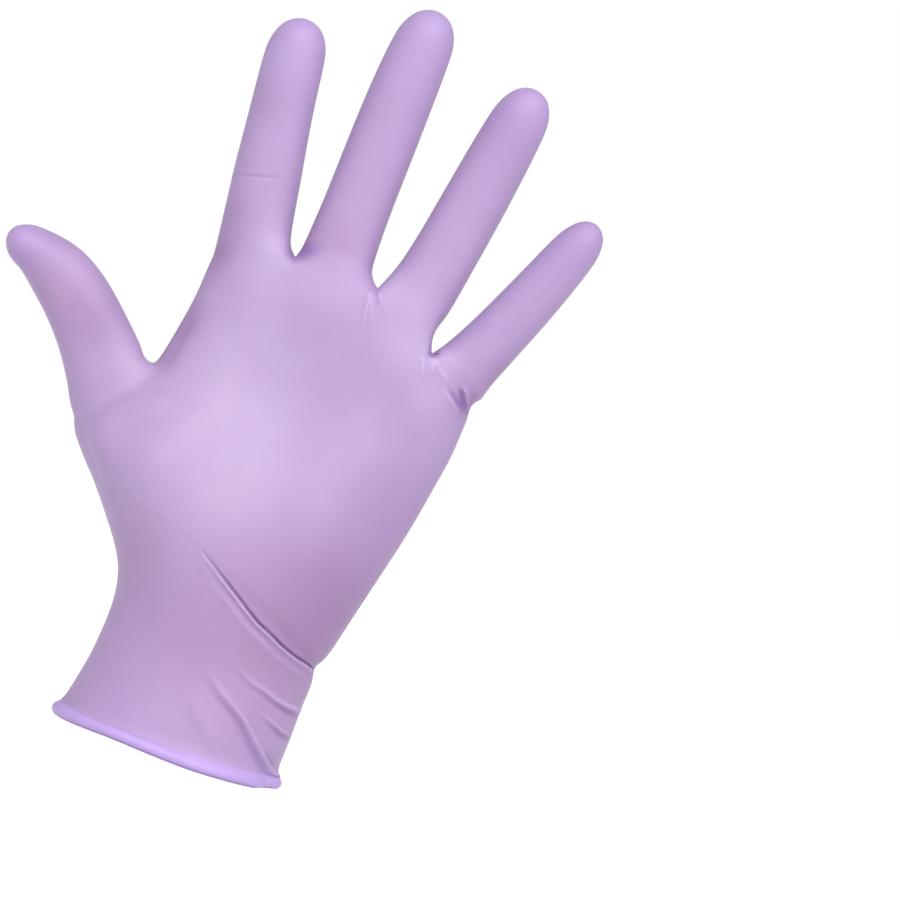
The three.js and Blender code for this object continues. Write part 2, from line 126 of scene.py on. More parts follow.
# The digits. "start" is in shares of the palm's width and the body's length, "size" is length, width and
# depth in millimetres, and "lean" is in degrees from +Z towards +X at the root, a third, two thirds and the
# tip. "slant" is the turn of the root loop, and "fore" and "curl" are millimetres towards the palm side.
# "dome" is the height of the rounded tip. "aside" is the share from which the tip drifts to its right, and by
# how many millimetres, and "waist" is how far its left and right sides draw in between the root and the first
# section. "close" are shares with rings of their own under a crease. A section is: share of the length, half
# width, front, back, the last three as shares of the digit's width and depth.
DIGITS = {
    "thumb": dict(
        start=(-0.547, 0.657), size=(56.6, 22, 20), lean=(-33.5, -40.5, -59, -98),
        slant=-18, fore=0.5, curl=8, dome=8.5,
        aside=(0.4, 0.8), waist=(-0.3, 1.1),
        sections=[
            (0.13, 0.56, 0.5, 0.56), (0.26, 0.52, 0.52, 0.52), (0.4, 0.495, 0.52, 0.49),
            (0.54, 0.48, 0.51, 0.47), (0.66, 0.455, 0.5, 0.46), (0.77, 0.41, 0.47, 0.43),
            (0.86, 0.32, 0.41, 0.365),
        ],
    ),
    "index": dict(
        start=(-0.257, 1.0), size=(75.2, 20, 17.5), lean=(-7, -7, -6, -9),
        slant=-11, fore=0, curl=3, dome=11.5,
        aside=(0.72, 0.9), waist=(0.1, 0.7), close=(0.29, 0.306, 0.322, 0.338, 0.354),
        sections=[
            (0.125, 0.532, 0.54, 0.54), (0.24, 0.522, 0.52, 0.51), (0.37, 0.513, 0.51, 0.5),
            (0.51, 0.49, 0.48, 0.48), (0.65, 0.472, 0.48, 0.45), (0.77, 0.47, 0.48, 0.43),
            (0.847, 0.465, 0.46, 0.41),
        ],
    ),
    "middle": dict(
        start=(0.006, 1.014), size=(87.9, 20.4, 18), lean=(2.6, 2.4, 3, 0),
        slant=0, fore=0, curl=3, dome=12.2,
        aside=(0.72, 1.0), waist=(0.2, 0.7),
        sections=[
            (0.105, 0.53, 0.54, 0.54), (0.2, 0.505, 0.52, 0.51), (0.34, 0.5, 0.51, 0.5),
            (0.48, 0.498, 0.49, 0.49), (0.62, 0.497, 0.49, 0.47), (0.76, 0.48, 0.48, 0.43),
            (0.861, 0.462, 0.46, 0.41),
        ],
    ),
    "ring": dict(
        start=(0.286, 1.0), size=(78.4, 19.6, 17.3), lean=(13.8, 10.8, 9.6, 2),
        slant=19, fore=0, curl=4, dome=12,
        aside=(0.72, 1.1), waist=(0, 2),
        sections=[
            (0.115, 0.53, 0.54, 0.54), (0.21, 0.505, 0.52, 0.51), (0.35, 0.503, 0.51, 0.5),
            (0.49, 0.495, 0.49, 0.48), (0.63, 0.488, 0.48, 0.46), (0.76, 0.47, 0.48, 0.42),
            (0.847, 0.455, 0.46, 0.4),
        ],
    ),
    "little": dict(
        start=(0.487, 0.896), size=(65.2, 17.2, 15.2), lean=(27.8, 24.8, 22.4, 13),
        slant=8, fore=0, curl=5, dome=12,
        aside=(0.72, 0.8), waist=(0, -1.2),
        sections=[
            (0.12, 0.54, 0.56, 0.56), (0.22, 0.512, 0.53, 0.52), (0.36, 0.495, 0.51, 0.5),
            (0.5, 0.48, 0.49, 0.48), (0.64, 0.46, 0.47, 0.44), (0.815, 0.43, 0.44, 0.39),
        ],
    ),
}

# The root loop's slant fades out over this share of a digit, and the rings over a web stand at these shares
# of the way from the root loop to the first ring. BOXY is what the power of a stall's section lacks of 1, an
# ellipse's, near its root, and the rounded tip has its rings at these angles.
SLANT_FADE = 0.4
WEB_RINGS = (0.14, 0.34, 0.62)
BOXY = 0.16
DOME_ANGLES = np.radians([24, 46])

# Folds, each as a line over the film and strands beside it. A line's points are (x, z) on the palm side, or
# (x, y, z) where it wraps round, in millimetres. A strand is: offset to the upper side of the line, spread
# below, spread above, height, all in millimetres; then the shares of the line where it has faded in and
# starts to fade out.
FOLDS = {
    "wrist": dict(
        line=[(-11, 61.3), (-7.5, 57.8), (-3.5, 54.9), (1, 51.7), (6.3, 48.2), (10.3, 45.6), (14.4, 43),
              (19.1, 40.7), (23.9, 38.4), (28.6, 36.4), (33.5, 34.4), (36.2, 0, 33)],
        strands=[(0, 0.75, 0.33, 1.0, 0.35, 0.86), (0.65, 0.28, 0.3, -0.7, 0.42, 0.86),
                 (1.6, 0.6, 9, 0.5, 0.3, 0.7), (-3, 1.1, 1.2, 0.35, 0.6, 0.8)],
    ),
    "cuff_long": dict(
        line=[(4, 27.5), (8.4, 23), (11.6, 20.9), (16, 18.2), (19.9, 15.3), (23.5, 12), (26.3, 9),
              (29.1, 5.8), (31.9, 2.9), (33.6, 1.2)],
        strands=[(0, 1.4, 0.8, 1.3, 0.5, 1), (-2.3, 1.4, 1.1, -0.9, 0.5, 0.95)],
    ),
    "cuff_upper": dict(
        line=[(7.7, 31.2), (13.4, 28.9), (18.7, 26.3), (23.2, 24.8), (27.3, 23.3), (31.5, 22.2),
              (35, 2, 21.2)],
        strands=[(0, 0.7, 0.8, 1.0, 0.8, 0.72), (-1.4, 0.8, 0.7, -0.6, 0.8, 0.72)],
    ),
    "cuff_short": dict(
        line=[(21.5, 18.6), (23.5, 18), (27.7, 16.4), (31.8, 14.6), (34.4, 1, 13.2)],
        strands=[(0, 0.5, 0.6, 0.75, 0.5, 0.6), (-1.1, 0.7, 0.6, -0.55, 0.5, 0.6)],
    ),
    "cuff_corner": dict(
        line=[(27.5, 9.2), (29, 7.2), (31.1, 5.1), (33.2, 3.3)],
        strands=[(0, 0.6, 0.8, -0.4, 0.4, 0.8)],
    ),
    "cuff_faint": dict(
        line=[(1, 19), (7.5, 12.4), (12.9, 6.9), (18.8, 3.0)],
        strands=[(0, 2.2, 2.6, 0.45, 0.5, 0.7)],
    ),
    "web_ring_1": dict(
        line=[(14, 147), (14.8, 139.1), (16, 133.5)],
        strands=[(0, 0.6, 0.5, 0.65, 0.05, 0.4)],
    ),
    "web_ring_2": dict(
        line=[(14.9, 147.4), (16.5, 140.3), (17.5, 135.5)],
        strands=[(0, 0.5, 0.5, 0.7, 0.05, 0.5)],
    ),
    "web_ring_3": dict(line=[(15.5, 147), (17.6, 141.2)], strands=[(0, 0.5, 0.4, -0.8, 0.05, 0.5)]),
    "web_ring_4": dict(line=[(16.5, 147), (19, 142.3)], strands=[(0, 0.4, 0.5, 0.65, 0.05, 0.5)]),
    "web_little_1": dict(line=[(34.6, 134.2), (37.6, 125.6)], strands=[(0, 0.9, 0.9, 0.65, 0.2, 0.5)]),
    "web_little_2": dict(line=[(36.7, 134.5), (40.2, 128)], strands=[(0, 0.8, 0.8, 0.65, 0.2, 0.5)]),
    "web_little_3": dict(
        line=[(38.4, 134.6), (41.5, 131), (45.8, 127.4)],
        strands=[(0, 0.8, 0.8, 0.55, 0.2, 0.6)],
    ),
    "web_little_nick": dict(
        line=[(36, 136.2), (37.8, 135.3), (40, 135.6)],
        strands=[(0, 0.7, 0.7, -0.9, 0.1, 0.6)],
    ),
    "pinch_1": dict(
        line=[(44.4, 127.6), (47, 125.8), (49.2, 124.1), (52, 121.5)],
        strands=[(0, 0.8, 0.7, -0.7, 0.4, 0.6), (-1.4, 0.8, 0.7, 0.6, 0.4, 0.6)],
    ),
    "pinch_2": dict(
        line=[(48, 128.4), (50, 125.6), (51.3, 123.9), (52.6, 122)],
        strands=[(0, 0.8, 0.6, -0.9, 0.3, 0.6), (1.3, 0.6, 0.9, 0.6, 0.3, 0.6)],
    ),
    "index_joint_1": dict(
        line=[(-37, 166.2), (-29.3, 167.9), (-21, 169.9)], strands=[(0, 0.5, 0.6, -0.22, 0.1, 0.7)],
    ),
    "index_joint_2": dict(
        line=[(-36.6, 168.8), (-30, 170.2), (-25, 171.3)],
        strands=[(0, 0.6, 0.7, -0.14, 0.2, 0.7)],
    ),
}

# How the film is coloured by place. A row is x and z of a round patch on the palm side, its spread, all in
# millimetres, and its weight. The film is paler where it is drawn thin, with painted light on the palm and the
# pads that face the light; it shows pink where it lies warm and close; and it is darker where it is slack or
# gathered, with painted shade on the sides and in the corners turned from the light. The last table is painted
# shade: fine dark lines in the corners of the webs and in the little finger's pinch, on the palm side alone.
# Paler where the film is drawn thin, and painted light over the lit palm, pads and fingertips.
TAUT_AND_LIT = [
    (-8, 98, 34, 0.6), (-18, 120, 22, 0.4), (-27, 160, 12, 0.35), (3, 165, 12, 0.3), (27, 160, 12, 0.25),
    (-48, 103, 8, 0.5), (-18, 148, 8, 0.5), (34, 133, 9, 0.6), (-28, 205, 9, 0.25), (3, 215, 9, 0.25),
    (-8, 70, 20, 0.4),
]
PINKER = [
    (-70, 116, 10, 0.6), (8, 62, 15, 0.4), (-26, 50, 12, 0.5), (24, 45, 16, 0.8), (5, 30, 18, 0.5),
    (2, 158, 9, 0.45), (-35, 90, 14, 0.3), (20, 20, 14, 0.4),
]
# Darker where the film is slack or gathered, and painted shade on the hypothenar, the thenar's edge, the
# little finger's right side and the web corners.
DEEPER_AND_SHADED = [
    (-38, 108, 6, 0.35), (-35, 120, 7, 0.5), (-33, 142, 6, 0.6), (38, 60, 20, 0.35), (37, 91, 14, 0.35),
    (-31, 155, 8, 0.45), (-60, 112, 9, 0.4), (30, 40, 14, 0.4), (-2, 36, 26, 0.35), (51.5, 124.3, 3.5, 0.9),
    (-8.6, 151.4, 3, 1), (-34, 190, 7, 0.2), (-84, 126, 8, 0.3), (36, 206, 9, 0.3), (68, 184, 8, 0.3),
    (28, 62, 16, 0.3), (64, 133, 9, 0.9), (77, 152, 8, 0.9), (-2, 156, 8, 0.25),
]
# Painted shade in the corners of the webs and in the little finger's pinch.
PAINTED_CORNER_SHADE = [
    (-12.6, 149.8, 2, 0.5), (-9.8, 150.9, 2, 0.9), (-7.6, 152.3, 2, 0.7), (-5, 153.2, 2, 0.5),
    (51.8, 123.6, 2, 0.6), (38, 135, 1.6, 0.5),
]

# The bead's profile: points round it, and the first of them that lies on its underside, which is painted with
# shade.
BEAD_STEPS = 16
BEAD_UNDERSIDE = 7

# The studio's soft lights: strength, width in degrees, and the direction they stand in. FILL is the light
# that comes from all round.
LIGHTS = [
    ("key", 1.95, 60, (0.31, -0.7, 0.635)),
    ("front", 1.15, 60, (-0.196, -0.8, 0.567)),
]
FILL = 0.42

# The camera stands a metre off on the palm side and is rolled, so that the glove leans to the right. The
# floor lies below the held-up glove and reaches far past the view.
CAMERA_PLACE = (0.05166, -1.0, 0.1098)
CAMERA_ROLL = np.radians(19)
LENS, SENSOR = 400 / 3, 36
FLOOR_HEIGHT, FLOOR_REACH = -0.16, 30


# Shapes


def hex_colour(code):
    """Linear RGBA of an sRGB hex value: each share c becomes ((c + 0.055) / 1.055) to the power 2.4."""
    share = np.array([int(code[i:i + 2], 16) for i in (0, 2, 4)]) / 255
    linear = np.where(share <= 0.04045, share / 12.92, ((share + 0.055) / 1.055) ** 2.4)
    return (*linear.tolist(), 1.0)


def ease(value, start, end):
    """3t^2 - 2t^3 of the share t that the value has come from start to end."""
    t = np.clip((value - start) / (end - start), 0, 1)
    return t * t * (3 - 2 * t)


def mix(a, b, share):
    """A straight blend of a and b."""
    return a + (b - a) * share


def through(at, keys, values):
    """A cubic between two table rows. It leaves each at the slope from the row before it to the row after."""
    at, keys, values = (np.asarray(v, float) for v in (at, keys, values))
    before, after = np.r_[0, np.arange(len(keys) - 1)], np.r_[np.arange(1, len(keys)), len(keys) - 1]
    slope = (values[after] - values[before]) / (keys[after] - keys[before])
    i = np.clip(np.searchsorted(keys, at) - 1, 0, len(keys) - 2)
    span = keys[i + 1] - keys[i]
    t = np.clip((at - keys[i]) / span, 0, 1)
    return (values[i] * (2 * t**3 - 3 * t**2 + 1) + slope[i] * span * (t**3 - 2 * t**2 + t)
            + values[i + 1] * (3 * t**2 - 2 * t**3) + slope[i + 1] * span * (t**3 - t**2))


def unit(vectors):
    """Each vector over its own length."""
    return vectors / np.maximum(np.linalg.norm(vectors, axis=-1, keepdims=True), 1e-12)


def girth(z, cuff, wrist, palm, size):
    """Width or depth at a height: it eases from the cuff's to the wrist's, and from there to the palm's."""
    low = mix(cuff, wrist, ease(z, 0, size.wrist_height))
    high = mix(wrist, palm, ease(z, size.wrist_height, size.palm_height))
    return np.where(z < size.wrist_height, low, high)


def mound_height(table, x, z, size):
    """A sum of bells, exp(-(along^2 + across^2)), each along its own turned line."""
    turn = np.radians(table[:, 4])
    dx = x[..., None] - table[:, 0] * size.palm_width
    dz = z[..., None] - table[:, 1] * size.body_length
    along = (dz * np.cos(turn) - dx * np.sin(turn)) / (table[:, 2] * MM)
    across = (dx * np.cos(turn) + dz * np.sin(turn)) / (table[:, 3] * MM)
    return (table[:, 5] * MM * np.exp(-(along**2 + across**2))).sum(-1)


def body_rows(rows, size):
    """The numbers of each row, in metres and radians, as columns of an array per name."""
    value = {}
    for name, column in zip(BODY_COLUMNS, BODY_ROWS.T):
        value[name] = through(rows, BODY_ROWS[:, 0], column)[:, None]
    for side, sign in (("left", -1), ("right", 1)):
        up = value[side + "_up"] * size.body_length
        width = girth(up, size.cuff_width, size.wrist_width, size.palm_width, size)
        value[side + "_z"] = up
        value[side] = sign * value[side + "_out"] * width
    return value


def body_points(value, angles, size):
    """The body at row and angle. With c and s as the angle's cosine and sine to the power "square", a point
    is (1 - c) / 2 of the way from left to right, lifted by 4 * rise * share * (1 - share), and s half-depths
    out."""
    boxy = lambda v: np.sign(v) * np.abs(v) ** value["square"]
    share = (1 - boxy(np.cos(angles))) / 2
    x = mix(value["left"], value["right"], share)
    rise = value["rise"] * size.body_length
    z = mix(value["left_z"], value["right_z"], share) + rise * 4 * share * (1 - share)
    depth = girth(z, size.cuff_depth, size.wrist_depth, size.palm_depth, size)
    front = value["front"] * depth + mound_height(PALM_MOUNDS, x, z, size)
    back = value["back"] * depth + mound_height(BACK_MOUNDS, x, z, size)
    return np.stack([x, -np.where(np.sin(angles) > 0, front, back) * boxy(np.sin(angles)), z], -1)


def column_places():
    """Where the palm side's columns stand, counted in digits. A sine draws them closer beside each web, down
    to 0.3 of an even step."""
    place = np.arange(COLUMNS + 1) / FRONT
    return place - 0.7 * np.sin(2 * np.pi * place) / (2 * np.pi)


def ring_angles(value, rows, size):
    """Angles of the rings' points: even at the cuff, and drawn up the body to columns that stand at the
    webs."""
    top = {name: float(v[-1, 0]) for name, v in value.items()}
    cosine = 1 - 2 * (WEBS[:, 0] * size.palm_width - top["left"]) / (top["right"] - top["left"])
    at_webs = np.arccos(np.sign(cosine) * np.abs(cosine) ** (1 / top["square"]))
    stops = np.r_[np.radians(top["open"]), at_webs, np.pi - SIDE_ANGLE]
    at_top = np.interp(column_places(), np.arange(FINGERS + 1), stops)
    start, end = np.radians(value["open"]), np.pi - SIDE_ANGLE
    front = mix(mix(start, end, np.arange(COLUMNS + 1) / COLUMNS), at_top, rows[:, None] / TOP_ROW)
    side = np.arange(1, SIDE) / SIDE
    right = np.broadcast_to(mix(end, np.pi + SIDE_ANGLE, side), (len(rows), SIDE - 1))
    left = mix(-front[:, :1], front[:, :1], side)
    return np.concatenate([front, right, 2 * np.pi - front[:, ::-1], left], 1), at_top


def web_shift(value, at_top, drop, size, back=False):
    """How far the top row's columns are lifted, easing from web to web, so that each web hangs by its
    drop."""
    top = {name: v[-1:] for name, v in value.items()}
    angles = at_top[FRONT:COLUMNS:FRONT][None]
    plain = body_points(top, 2 * np.pi - angles if back else angles, size)[0, :, 2]
    ends = np.r_[0, WEBS[:, 1] * size.body_length - drop - plain, 0]
    digit = np.minimum(np.arange(COLUMNS + 1) // FRONT, FINGERS - 1)
    return mix(ends[digit], ends[digit + 1], ease(column_places() - digit, 0, 1))


def digit_points(digit, start, size):
    """One digit as a profile carried along a bent path: rings of half-ellipses, front and back, whose last
    ones shrink as a quarter ellipse, and a cap of a grid laid into the last ring at the same dome's height.
    Between the root loop and the first ring, rings go straight over, drawn in by 4 * waist * share *
    (1 - share)."""
    ring_size = len(start)
    length, width, depth = (v * MM for v in digit["size"])
    dome = digit["dome"] * MM
    fine = np.linspace(0, 1, 241)
    lean = np.radians(through(fine, np.linspace(0, 1, 4), digit["lean"]))
    step = np.c_[np.sin(lean), np.cos(lean)] * length / 240
    path = np.vstack([[0, 0], np.cumsum((step[1:] + step[:-1]) / 2, 0)])
    path += np.array(digit["start"]) * (size.palm_width, size.body_length)

    sections = np.array(digit["sections"])
    along, half, front, back = sections.T
    finer = np.unique(np.r_[np.linspace(along[0], along[-1], 6), digit.get("close", ())])
    half, front, back = (through(finer, along, column) for column in (half, front, back))
    shrink = np.cos(DOME_ANGLES)
    along = np.r_[finer, 1 - dome / length * (1 - np.sin(DOME_ANGLES))]
    half, front, back = (np.r_[column, column[-1] * shrink] for column in (half, front, back))

    def place(share, across, out):
        """Points at a share of the path: across it, and out of it towards the back."""
        turn = np.radians(through(share, np.linspace(0, 1, 4), digit["lean"]))
        turn = turn + np.radians(digit["slant"]) * (1 - ease(share, 0, SLANT_FADE))
        x, z = np.interp(share, fine, path[:, 0]), np.interp(share, fine, path[:, 1])
        y = -(digit["fore"] + digit["curl"] * share**2) * MM + out
        across = across + digit["aside"][1] * MM * ease(share, digit["aside"][0], 1)
        return np.stack([x + across * np.cos(turn), y, z - across * np.sin(turn)], -1)

    angle = 2 * np.pi * (np.arange(ring_size) - FRONT / 2) / ring_size - np.pi / 2
    c, s = np.cos(angle), np.sin(angle)
    slant = np.radians(digit["slant"]) * (1 - ease(along, 0, SLANT_FADE))
    square = (1 - BOXY * (1 - ease(along, 0.5, 0.8)))[:, None]
    across = (half * width / np.cos(slant))[:, None] * np.sign(c) * np.abs(c) ** square
    out = depth * np.where(s < 0, front[:, None], back[:, None]) * np.sign(s) * np.abs(s) ** square
    rings = place(np.broadcast_to(along[:, None], across.shape), across, out)
    over = np.array(WEB_RINGS)[:, None, None]
    left, right = (v * MM for v in digit["waist"])
    rightwards = unit(rings[0, FRONT] - rings[0, 0])
    draw = -(np.where(c < 0, left, right) * c)[:, None] * rightwards
    rings = np.concatenate([mix(start[None], rings[:1], over) + 4 * over * (1 - over) * draw, rings])

    # The cap's grid: a Coons patch of the unit ring, inside which each point keeps its share of the radius.
    edge = np.c_[c, s]
    low, high = edge[:FRONT + 1], edge[FRONT + SIDE:2 * FRONT + SIDE + 1][::-1]
    right, left = edge[FRONT:FRONT + SIDE + 1], np.vstack([edge[2 * FRONT + SIDE:], edge[:1]])[::-1]
    u = (np.arange(FRONT + 1) / FRONT)[None, :, None]
    v = (np.arange(SIDE + 1) / SIDE)[:, None, None]
    disc = ((1 - v) * low[None] + v * high[None] + (1 - u) * left[:, None] + u * right[:, None]
            - (1 - u) * (1 - v) * low[0] - u * (1 - v) * low[-1] - (1 - u) * v * high[0] - u * v * high[-1])
    disc = disc[1:-1, 1:-1] * shrink[-1]
    radius = np.linalg.norm(disc, axis=-1)
    share = 1 - dome / length * (1 - np.sqrt(1 - radius**2))
    last = sections[-1]
    out = depth * np.where(disc[..., 1] < 0, last[2], last[3]) * disc[..., 1]
    cap = place(share, last[1] * width * disc[..., 0], out)
    return rings, cap


def film_cage(size):
    """The film's outer skin as a cage of four-sided faces: the body's rings, an arch over each web, and the
    digits. The thumb leaves through the thumb side, which has no points between its rows."""
    rows = CAGE_ROWS
    value = body_rows(rows, size)
    angles, at_top = ring_angles(value, rows, size)
    body = body_points(value, angles, size)
    left = np.arange(RING) > BACK_START + COLUMNS
    thumb_end = THUMB_AT + FRONT
    body[thumb_end, left, 2] += size.thumb_web_drop * np.cos(
        np.pi * angles[thumb_end, left] / (2 * np.radians(value["open"][thumb_end])))
    near = ease(rows, THUMB_TOP - 1, TOP_ROW)[:, None]
    body[:, :COLUMNS + 1, 2] += near * web_shift(value, at_top, size.web_drop_front, size)
    body[:, BACK_START:BACK_START + COLUMNS + 1, 2] += near * web_shift(
        value, at_top, size.web_drop_back, size, back=True)[::-1]

    kept = np.ones((len(rows), RING), bool)
    kept[THUMB_AT + 1:thumb_end, left] = False
    grid = np.full(kept.shape, -1)
    grid[kept] = np.arange(kept.sum())
    points = [body[kept]]
    count = int(kept.sum())
    across = np.roll(grid, -1, 1)
    quads = np.stack([grid[:-1], across[:-1], across[1:], grid[1:]], -1)
    hole = np.zeros(quads.shape[:2], bool)
    hole[THUMB_AT:thumb_end] = left | np.roll(left, -1)
    faces = [quads[~hole]]

    top = grid[-1]
    back_of = lambda column: top[BACK_START + COLUMNS - column]
    arches = []
    turn = np.pi * np.arange(1, SIDE) / SIDE
    for i, crest in enumerate(WEBS[:, 1] * size.body_length):
        column = (i + 1) * FRONT
        front, back = body[-1, column], body[-1, BACK_START + COLUMNS - column]
        arch = mix(front, back, (1 - np.cos(turn))[:, None] / 2)
        arch[:, 2] = mix(arch[:, 2], crest, np.sin(turn))
        points.append(arch)
        arches.append(count + np.arange(SIDE - 1))
        count += SIDE - 1

    roots = [np.r_[grid[THUMB_AT:thumb_end + 1, 0], grid[thumb_end, left][::-1],
                   grid[THUMB_AT:thumb_end + 1, BACK_START + COLUMNS][::-1], grid[THUMB_AT, left]]]
    for f in range(FINGERS):
        right_side = arches[f] if f < FINGERS - 1 else top[COLUMNS + 1:BACK_START]
        left_side = arches[f - 1][::-1] if f else top[left]
        columns = np.arange(f * FRONT, (f + 1) * FRONT + 1)
        roots.append(np.r_[top[columns], right_side, back_of(columns[::-1]), left_side])

    for root, digit in zip(roots, DIGITS.values()):
        rings, cap = digit_points(digit, np.concatenate(points)[root], size)
        number = count + np.arange(rings.shape[0] * rings.shape[1]).reshape(rings.shape[:2])
        count += number.size
        loops = np.vstack([root, number])
        after = np.roll(loops, -1, 1)
        faces.append(np.stack([loops[:-1], after[:-1], after[1:], loops[1:]], -1).reshape(-1, 4))
        inner = count + np.arange(cap.shape[0] * cap.shape[1]).reshape(cap.shape[:2])
        count += inner.size
        last = number[-1]
        patch = np.empty((SIDE + 1, FRONT + 1), int)
        patch[1:-1, 1:-1] = inner
        patch[0] = last[:FRONT + 1]
        patch[:, -1] = last[FRONT:FRONT + SIDE + 1]
        patch[-1] = last[FRONT + SIDE:2 * FRONT + SIDE + 1][::-1]
        patch[:, 0] = np.r_[last[2 * FRONT + SIDE:], last[0]][::-1]
        corners = (patch[:-1, :-1], patch[:-1, 1:], patch[1:, 1:], patch[1:, :-1])
        faces.append(np.stack(corners, -1).reshape(-1, 4))
        points += [rings.reshape(-1, 3), cap.reshape(-1, 3)]

    points, faces = np.concatenate(points), np.concatenate(faces)
    thumb_web = grid[thumb_end, left]

    # The outline runs over the outer rims of the thumb's and the index finger's roots, so they keep more of
    # their place. The thumb's root is then evened out once more, further round it and in depth alone.
    out, up = -points[:, 0], points[:, 2]
    thumb_rim = 0.5 * ease(out, 44 * MM, 52 * MM)
    index_rim = 0.8 * ease(out, 30 * MM, 33 * MM) * ease(up, 124 * MM, 134 * MM)
    rim = np.clip(thumb_rim + index_rim, 0, 1)[:, None]
    loops, webs = np.concatenate(roots), np.concatenate([*arches, thumb_web])
    even = relaxed(points, faces, loops, webs, passes=8, reach=5 * MM)
    points = mix(even, points, rim)
    points[:, 1] = relaxed(points, faces, roots[0], thumb_web, passes=24, reach=24 * MM)[:, 1]
    return points, faces, grid[0]


def relaxed(points, faces, loops, sharp, passes, reach):
    """Evens out the film where the digits leave it: each pass draws a point half way to its neighbours'
    mean, by a share that fades over the reach from the root loops and towards the sharp webs."""
    away = np.linalg.norm(points[:, None] - points[loops][None], axis=-1).min(1)
    web = np.linalg.norm(points[:, None] - points[sharp][None], axis=-1).min(1)
    share = (0.5 * (1 - ease(away, 0, reach)) * ease(web, 1 * MM, 8 * MM))[:, None]
    a, b = faces.ravel(), np.roll(faces, -1, 1).ravel()
    a, b = np.r_[a, b], np.r_[b, a]
    number = np.bincount(a, minlength=len(points))[:, None]
    for _ in range(passes):
        mean = np.stack([np.bincount(a, points[b, k], len(points)) for k in range(3)], 1) / number
        points = mix(points, mean, share)
    return points


def face_normals_at_points(points, faces):
    """The unit sum of the diagonals' cross products of the faces round each point."""
    a, b, c, d = (points[faces[:, i]] for i in range(4))
    facing = np.repeat(np.cross(c - a, d - b), 4, 0)
    return unit(np.stack([np.bincount(faces.ravel(), facing[:, k], len(points)) for k in range(3)], 1))


def subdivided(points, faces, levels):
    """The cage's Catmull-Clark skin after so many levels. Its first points are the cage's own, in order."""
    mesh = bpy.data.meshes.new("cage")
    mesh.from_pydata(points, [], faces)
    holder = bpy.data.objects.new("cage", mesh)
    bpy.context.scene.collection.objects.link(holder)
    finish = holder.modifiers.new("skin", "SUBSURF")
    finish.levels = finish.render_levels = levels
    skin = holder.evaluated_get(bpy.context.evaluated_depsgraph_get()).to_mesh()
    fine = np.empty(len(skin.vertices) * 3)
    skin.vertices.foreach_get("co", fine)
    corners = np.empty(len(skin.loops), int)
    skin.loops.foreach_get("vertex_index", corners)
    bpy.data.objects.remove(holder)
    bpy.data.meshes.remove(mesh)
    return fine.reshape(-1, 3), corners.reshape(-1, 4)


def fold_relief(points, normals, amount):
    """Height of all the folds at each point, and of the narrow ones alone. With t and d as the place along a
    fold's line and the distance to its upper side, a strand adds height * exp(-((d - offset) / spread)^2),
    faded in and out along t and past its ends. A strand counts as narrow where it spreads under 1.8 mm."""
    relief, narrow = np.zeros(len(points)), np.zeros(len(points))
    for fold in FOLDS.values():
        # Each point of the line is drawn to the nearest of the film, on the palm side where it has no depth.
        line = np.array([(p[0], np.nan, p[1]) if len(p) == 2 else p for p in fold["line"]], float) * MM
        off = points[None] - line[:, None]
        palm = np.where((normals[:, 1] < -0.02)[None], 0, 1.0)
        flat = np.where(np.isnan(line[:, 1])[:, None], off[..., 0] ** 2 + off[..., 2] ** 2 + palm,
                        (np.nan_to_num(off) ** 2).sum(-1))
        nearest = flat.argmin(1)
        knots = points[nearest]
        reach = np.r_[0, np.cumsum(np.linalg.norm(np.diff(knots, axis=0), axis=1))]
        reach /= reach[-1]
        t = np.linspace(0, 1, 90)
        path = np.stack([through(t, reach, knots[:, k]) for k in range(3)], 1)
        along = unit(np.gradient(path, axis=0))
        facing = unit(np.stack([np.interp(t, reach, normals[nearest][:, k]) for k in range(3)], 1))
        upper = unit(np.cross(facing, along))
        margin = 3 * max(max(s[1], s[2]) + abs(s[0]) for s in fold["strands"]) * MM
        near = np.flatnonzero(((points > path.min(0) - margin) & (points < path.max(0) + margin)).all(1))
        gap = points[near][:, None] - path[None]
        closest = (gap**2).sum(-1).argmin(1)
        gap = gap[np.arange(len(near)), closest]
        d = (gap * upper[closest]).sum(1) / MM
        beyond = (gap * along[closest]).sum(1) / MM
        at = t[closest]
        same_side = ease((normals[near] * facing[closest]).sum(1), 0.1, 0.5)
        for offset, below, above, height, faded_in, fade_out in fold["strands"]:
            spread = np.where(d < offset, below, above)
            envelope = ease(at, 0, faded_in) * (1 - ease(at, fade_out, 1.001) * (fade_out < 1))
            envelope = envelope * np.exp(-(beyond / (0.6 + spread)) ** 2) * same_side
            lift = height * MM * amount * np.exp(-(((d - offset) / spread) ** 2)) * envelope
            relief[near] += lift
            narrow[near] += lift * np.clip(1.8 - max(below, above), 0, 1)
    return relief, narrow


